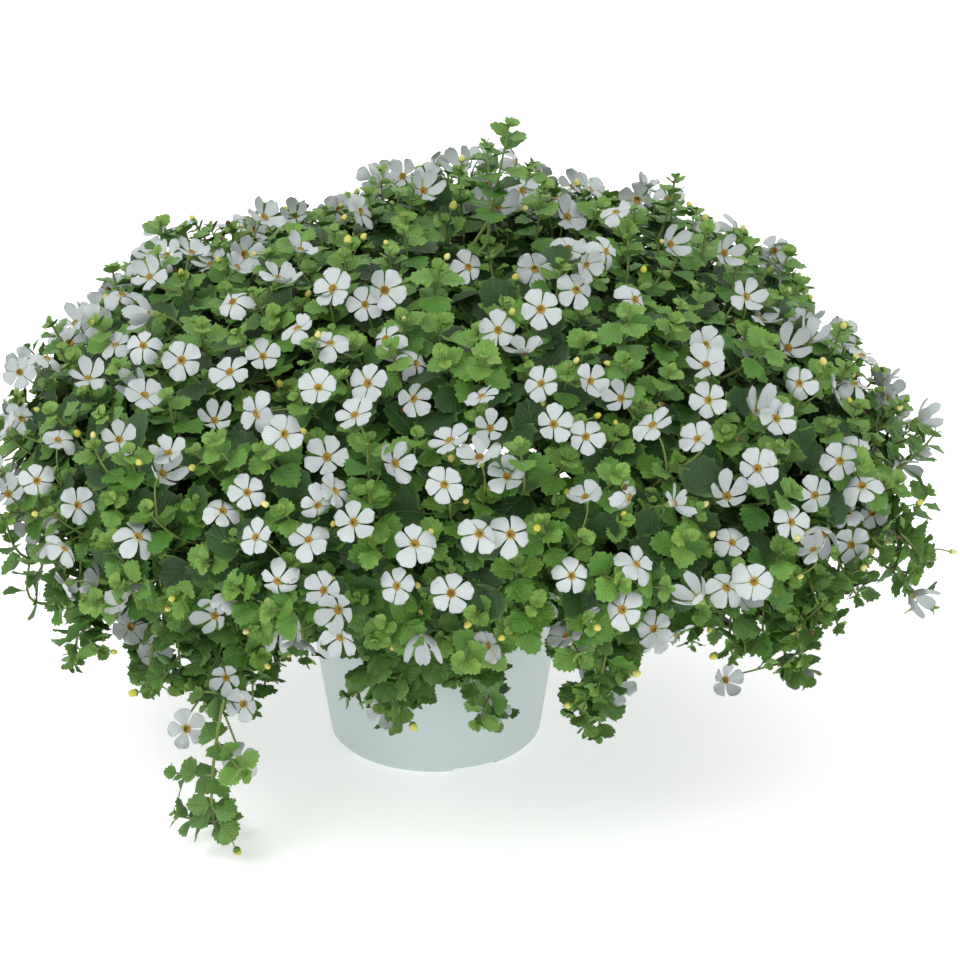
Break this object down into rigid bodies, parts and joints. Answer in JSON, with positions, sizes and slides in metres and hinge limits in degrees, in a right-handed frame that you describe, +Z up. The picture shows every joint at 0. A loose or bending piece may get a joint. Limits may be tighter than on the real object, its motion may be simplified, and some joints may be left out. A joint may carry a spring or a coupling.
{
  "type": "potted bacopa",
  "caption": "Bushy bacopa with small toothed leaves and white five-petalled flowers, trailing over the rim of a plain round plastic pot.",
  "frame": {"origin": "middle of the pot's underside, on the surface it stands on", "axes": "+Z up; -Y towards the front, the side that the picture shows; +X to the right seen from the front"},
  "size_m": [0.4634, 0.4176, 0.3097],
  "materials": {
    "pot_plastic": "satin moulded plastic",
    "potting_mix": "dry crumbly potting mix",
    "foliage": "living leaf, stem and petal"
  },
  "bodies": {
    "root": {"leafy_stem_01": "foliage", "leafy_stem_02": "foliage", "leafy_stem_03": "foliage", "leafy_stem_04": "foliage", "leafy_stem_05": "foliage", "leafy_stem_06": "foliage", "leafy_stem_07": "foliage", "leafy_stem_08": "foliage", "leafy_stem_09": "foliage", "leafy_stem_10": "foliage", "leafy_stem_11": "foliage", "leafy_stem_12": "foliage", "leafy_stem_13": "foliage", "leafy_stem_14": "foliage", "leafy_stem_15": "foliage", "leafy_stem_16": "foliage", "leafy_stem_17": "foliage", "leafy_stem_18": "foliage", "leafy_stem_19": "foliage", "leafy_stem_20": "foliage", "leafy_stem_21": "foliage", "leafy_stem_22": "foliage", "leafy_stem_23": "foliage", "leafy_stem_24": "foliage", "leafy_stem_25": "foliage", "leafy_stem_26": "foliage", "leafy_stem_27": "foliage", "leafy_stem_28": "foliage", "pot": "pot_plastic", "soil": "potting_mix", "trailing_stem_01": "foliage", "trailing_stem_02": "foliage", "trailing_stem_03": "foliage", "trailing_stem_04": "foliage", "trailing_stem_05": "foliage", "trailing_stem_06": "foliage", "trailing_stem_07": "foliage", "trailing_stem_08": "foliage", "trailing_stem_09": "foliage", "trailing_stem_10": "foliage", "trailing_stem_11": "foliage"}
  },
  "joints": []
}
